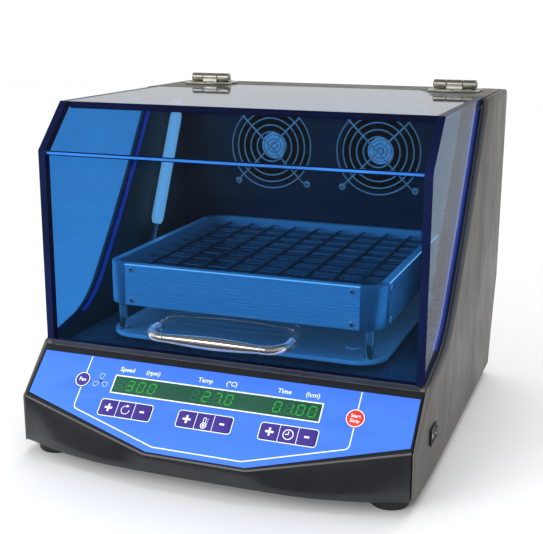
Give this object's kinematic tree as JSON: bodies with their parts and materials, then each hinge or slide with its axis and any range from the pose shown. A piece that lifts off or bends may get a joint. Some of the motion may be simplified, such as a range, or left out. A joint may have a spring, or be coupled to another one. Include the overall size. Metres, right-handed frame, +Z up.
{
  "type": "orbital shaker",
  "caption": "Bench-top incubating orbital shaker: sloping keypad with display, tinted acrylic hood on rear hinges with a gas strut, and a spring-wire tray that orbits on cranks.",
  "frame": {"origin": "centre of the bounding box in plan, on the plane the four rubber feet stand on", "axes": "+X to the operator's right along the hinge line, +Y from the keypad to the rear cover, +Z up"},
  "size_m": [0.3774, 0.4294, 0.3292],
  "materials": {
    "charcoal": "satin charcoal paint",
    "side_grey": "glossy dark grey paint",
    "navy_steel": "dark navy powder coat",
    "blue_print": "bright blue printed membrane",
    "green_window": "dark green display window",
    "purple_key": "violet membrane key",
    "red_key": "red membrane key",
    "tinted_acrylic": "clear blue-tinted acrylic sheet",
    "chrome": "polished chrome",
    "nickel": "satin nickel",
    "aluminium": "satin extruded aluminium",
    "steel": "machined steel",
    "black_plastic": "black moulded plastic",
    "rubber": "black rubber",
    "board_green": "green circuit board"
  },
  "bodies": {
    "cabinet": {"front_fascia": "charcoal", "base_plate": "navy_steel", "left_side_panel": "side_grey", "right_side_panel": "side_grey", "rear_cover": "charcoal", "chamber_floor": "navy_steel", "chamber_back_wall": "navy_steel", "panel_overlay": "blue_print", "display_window": "green_window", "control_board": "board_green", "foot_front_left": "rubber", "foot_front_right": "rubber", "foot_rear_left": "rubber", "foot_rear_right": "rubber", "switch_housing": "black_plastic", "power_inlet": "black_plastic", "hinge_cabinet_leaf_left": "nickel", "hinge_cabinet_leaf_right": "nickel", "fan_frame_left": "black_plastic", "fan_frame_right": "black_plastic", "fan_guard_left": "chrome", "fan_guard_right": "chrome", "drive_motor": "steel", "air_heater": "aluminium"},
    "crank": {"drive_crank": "steel"},
    "carriage": {"platform": "aluminium", "tray_rail_front": "aluminium", "tray_rail_rear": "aluminium", "tray_rail_left": "aluminium", "tray_rail_right": "aluminium", "tray_corner_front_left": "aluminium", "tray_corner_front_right": "aluminium", "tray_corner_rear_left": "aluminium", "tray_corner_rear_right": "aluminium", "tray_base": "aluminium", "spring_grid": "steel"},
    "hood": {"hood_front_panel": "tinted_acrylic", "hood_left_pane": "tinted_acrylic", "hood_right_pane": "tinted_acrylic", "hood_rear_plate": "navy_steel", "hood_handle": "chrome", "hinge_hood_leaf_left": "nickel", "hinge_hood_leaf_right": "nickel"},
    "strut_rod_body": {"strut_rod": "chrome"},
    "strut_tube_body": {"strut_cylinder": "aluminium"},
    "fan_rotor_left_body": {"fan_rotor_left": "black_plastic"},
    "fan_rotor_right_body": {"fan_rotor_right": "black_plastic"},
    "rocker": {"power_rocker": "black_plastic"},
    "idler_front_left": {"idler_crank_front_left": "steel"},
    "idler_front_right": {"idler_crank_front_right": "steel"},
    "idler_rear_left": {"idler_crank_rear_left": "steel"},
    "idler_rear_right": {"idler_crank_rear_right": "steel"},
    "key_speed_up_body": {"key_speed_up": "purple_key"},
    "key_temperature_up_body": {"key_temperature_up": "purple_key"},
    "key_time_up_body": {"key_time_up": "purple_key"},
    "key_speed_down_body": {"key_speed_down": "purple_key"},
    "key_temperature_down_body": {"key_temperature_down": "purple_key"},
    "key_time_down_body": {"key_time_down": "purple_key"},
    "key_fan_body": {"key_fan": "purple_key"},
    "key_start_stop_body": {"key_start_stop": "red_key"}
  },
  "joints": [
    {"name": "crank_spin", "type": "hinge", "parent": "cabinet", "child": "crank", "pos_m": [0, 0.0029, 0.093], "axis": [0, 0, 1], "continuous": true},
    {"name": "carriage_orbit", "type": "hinge", "parent": "crank", "child": "carriage", "pos_m": [0, 0.0129, 0.098], "axis": [0, 0, 1], "continuous": true},
    {"name": "idler_front_left_spin", "type": "hinge", "parent": "cabinet", "child": "idler_front_left", "pos_m": [-0.1, -0.0771, 0.093], "axis": [0, 0, 1], "continuous": true},
    {"name": "idler_front_right_spin", "type": "hinge", "parent": "cabinet", "child": "idler_front_right", "pos_m": [0.1, -0.0771, 0.093], "axis": [0, 0, 1], "continuous": true},
    {"name": "idler_rear_left_spin", "type": "hinge", "parent": "cabinet", "child": "idler_rear_left", "pos_m": [-0.1, 0.0829, 0.093], "axis": [0, 0, 1], "continuous": true},
    {"name": "idler_rear_right_spin", "type": "hinge", "parent": "cabinet", "child": "idler_rear_right", "pos_m": [0.1, 0.0829, 0.093], "axis": [0, 0, 1], "continuous": true},
    {"name": "hood_open", "type": "hinge", "parent": "cabinet", "child": "hood", "pos_m": [0, 0.1549, 0.3242], "axis": [-1, 0, 0], "range_deg": [0, 65]},
    {"name": "strut_swing", "type": "hinge", "parent": "cabinet", "child": "strut_rod_body", "pos_m": [-0.1615, 0.0219, 0.115], "axis": [1, 0, 0], "range_deg": [0, 4.48]},
    {"name": "strut_extend", "type": "slide", "parent": "strut_rod_body", "child": "strut_tube_body", "axis": [0, 0.4365, 0.8997], "range_m": [0, 0.04963]},
    {"name": "fan_left_spin", "type": "hinge", "parent": "cabinet", "child": "fan_rotor_left_body", "pos_m": [-0.062, 0.1649, 0.25], "axis": [0, -1, 0], "continuous": true},
    {"name": "fan_right_spin", "type": "hinge", "parent": "cabinet", "child": "fan_rotor_right_body", "pos_m": [0.062, 0.1649, 0.25], "axis": [0, -1, 0], "continuous": true},
    {"name": "rocker_tilt", "type": "hinge", "parent": "cabinet", "child": "rocker", "pos_m": [0.1864, -0.1336, 0.0513], "axis": [0, 0, 1], "range_deg": [0, 18]},
    {"name": "key_speed_up_press", "type": "slide", "parent": "cabinet", "child": "key_speed_up_body", "axis": [0, 0.682, -0.7314], "range_m": [0, 0.0004], "stiffness_N_per_m": 400},
    {"name": "key_temperature_up_press", "type": "slide", "parent": "cabinet", "child": "key_temperature_up_body", "axis": [0, 0.682, -0.7314], "range_m": [0, 0.0004], "stiffness_N_per_m": 400},
    {"name": "key_time_up_press", "type": "slide", "parent": "cabinet", "child": "key_time_up_body", "axis": [0, 0.682, -0.7314], "range_m": [0, 0.0004], "stiffness_N_per_m": 400},
    {"name": "key_speed_down_press", "type": "slide", "parent": "cabinet", "child": "key_speed_down_body", "axis": [0, 0.682, -0.7314], "range_m": [0, 0.0004], "stiffness_N_per_m": 400},
    {"name": "key_temperature_down_press", "type": "slide", "parent": "cabinet", "child": "key_temperature_down_body", "axis": [0, 0.682, -0.7314], "range_m": [0, 0.0004], "stiffness_N_per_m": 400},
    {"name": "key_time_down_press", "type": "slide", "parent": "cabinet", "child": "key_time_down_body", "axis": [0, 0.682, -0.7314], "range_m": [0, 0.0004], "stiffness_N_per_m": 400},
    {"name": "key_fan_press", "type": "slide", "parent": "cabinet", "child": "key_fan_body", "axis": [0, 0.682, -0.7314], "range_m": [0, 0.0004], "stiffness_N_per_m": 400},
    {"name": "key_start_stop_press", "type": "slide", "parent": "cabinet", "child": "key_start_stop_body", "axis": [0, 0.682, -0.7314], "range_m": [0, 0.0004], "stiffness_N_per_m": 400}
  ],
  "couplings": [
    {"joint": "carriage_orbit", "follows": "crank_spin", "ratio": -1},
    {"joint": "idler_front_left_spin", "follows": "crank_spin", "ratio": 1},
    {"joint": "idler_front_right_spin", "follows": "crank_spin", "ratio": 1},
    {"joint": "idler_rear_left_spin", "follows": "crank_spin", "ratio": 1},
    {"joint": "idler_rear_right_spin", "follows": "crank_spin", "ratio": 1},
    {"joint": "strut_swing", "follows": "hood_open", "ratio": 0.068895},
    {"joint": "strut_extend", "follows": "hood_open", "m_per_rad": 0.043735}
  ]
}
